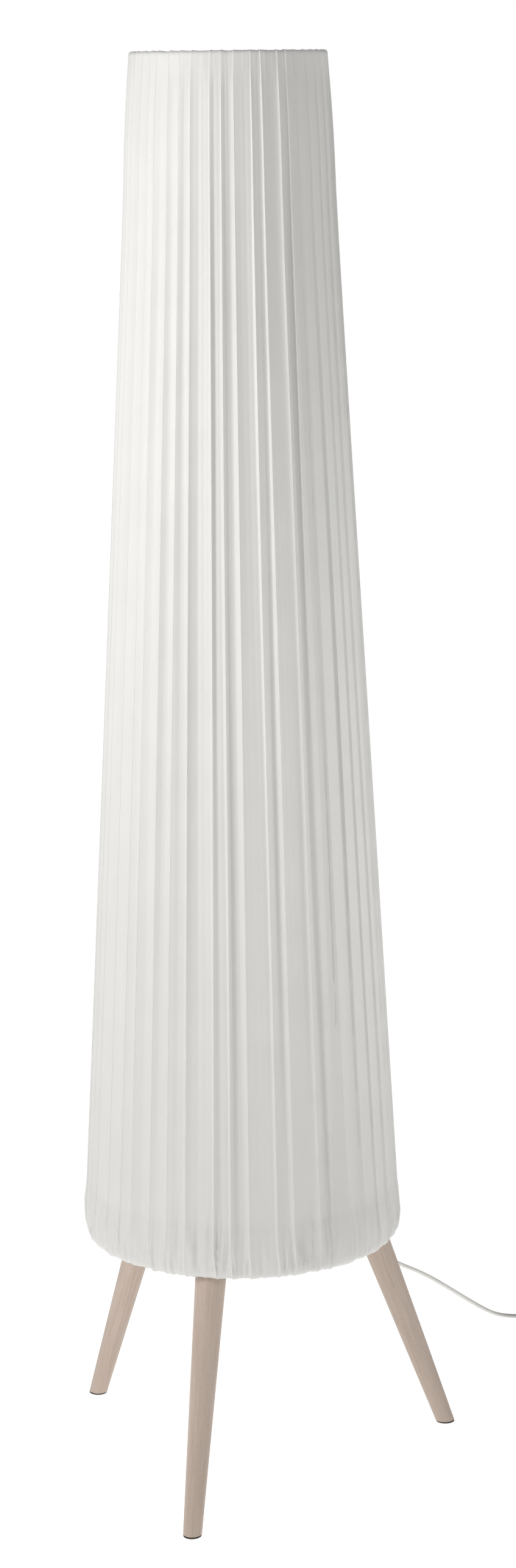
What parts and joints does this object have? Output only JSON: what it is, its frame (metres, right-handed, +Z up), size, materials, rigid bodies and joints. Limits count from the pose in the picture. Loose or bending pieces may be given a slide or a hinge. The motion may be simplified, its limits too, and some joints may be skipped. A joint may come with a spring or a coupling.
{
  "type": "tripod floor lamp",
  "caption": "Slim column floor lamp: a tall pleated fabric shade on a wire frame stands on splayed, turned wooden legs, with a bulb on a stem inside and a flat lead with a foot switch.",
  "frame": {"origin": "on the floor, where the axis of the stem and shade meets it", "axes": "+Z up along the stem; +Y points away from the viewer of the picture, so azimuth 0 is the picture's view, with one leg nearly towards the viewer"},
  "size_m": [0.497, 0.4866, 1.19],
  "materials": {
    "leg_wood": "whitewashed beech, matt",
    "foot_pad": "matt",
    "zinc_steel": "zinc plated",
    "white_metal": "satin powder coat",
    "shade_cloth": "satin weave, pleated",
    "elastic": "woven elastic",
    "white_plastic": "moulded",
    "button_plastic": "moulded",
    "holder_ceramic": "glazed",
    "brass": "stamped",
    "nickel": "nickel plated",
    "bulb_black_glass": "fired black",
    "opal_glass": "opal",
    "lead_sheath": "smooth sheath"
  },
  "bodies": {
    "lamp": {"coil_tie": "white_plastic", "cord_coil": "lead_sheath", "cord_gland": "white_plastic", "cord_inside": "lead_sheath", "cord_run": "lead_sheath", "cord_to_coil": "lead_sheath", "cord_to_plug": "lead_sheath", "foot_pad_back": "foot_pad", "foot_pad_front": "foot_pad", "foot_pad_right": "foot_pad", "hem_elastic": "elastic", "holder_cap": "white_plastic", "holder_contact": "brass", "holder_insert": "holder_ceramic", "holder_nipple": "zinc_steel", "holder_skirt": "white_plastic", "holder_terminals": "brass", "holder_thread": "brass", "leg_back": "leg_wood", "leg_front": "leg_wood", "leg_plate": "white_metal", "leg_right": "leg_wood", "leg_studs": "zinc_steel", "leg_weld_nuts": "zinc_steel", "plug_body": "white_plastic", "plug_pin_sleeves": "white_plastic", "plug_pins": "nickel", "shade_bottom_ring": "white_metal", "shade_fabric": "shade_cloth", "shade_fitter": "white_metal", "shade_rib_1": "white_metal", "shade_rib_2": "white_metal", "shade_rib_3": "white_metal", "shade_rib_4": "white_metal", "shade_rib_5": "white_metal", "shade_rib_6": "white_metal", "shade_top_ring": "white_metal", "stem_flange": "white_metal", "stem_nipple": "zinc_steel", "stem_nut": "zinc_steel", "stem_tube": "white_metal", "stem_washer": "zinc_steel", "strain_relief": "white_plastic", "switch_base": "white_plastic", "switch_contacts": "brass", "switch_cover": "white_plastic", "switch_screws": "zinc_steel", "switch_spring": "zinc_steel"},
    "switch_button": {"switch_button": "button_plastic"},
    "bulb_seat": {"bulb_contact": "nickel"},
    "bulb": {"bulb_cap": "nickel", "bulb_insulator": "bulb_black_glass", "bulb_globe": "opal_glass"}
  },
  "joints": [
    {"name": "foot_switch_press", "type": "slide", "parent": "lamp", "child": "switch_button", "axis": [0, 0, -1], "range_m": [0, 0.003], "stiffness_N_per_m": 1500, "springref_m": -0.0015, "deforming": ["switch_spring"]},
    {"name": "bulb_lift", "type": "slide", "parent": "lamp", "child": "bulb_seat", "axis": [0, 0, 1], "range_m": [0, 0.0146]},
    {"name": "bulb_turn", "type": "hinge", "parent": "bulb_seat", "child": "bulb", "pos_m": [0, 0, 0.65], "axis": [0, 0, 1], "range_deg": [0, 1440]}
  ],
  "couplings": [
    {"joint": "bulb_lift", "follows": "bulb_turn", "m_per_rad": 0.00057773}
  ]
}
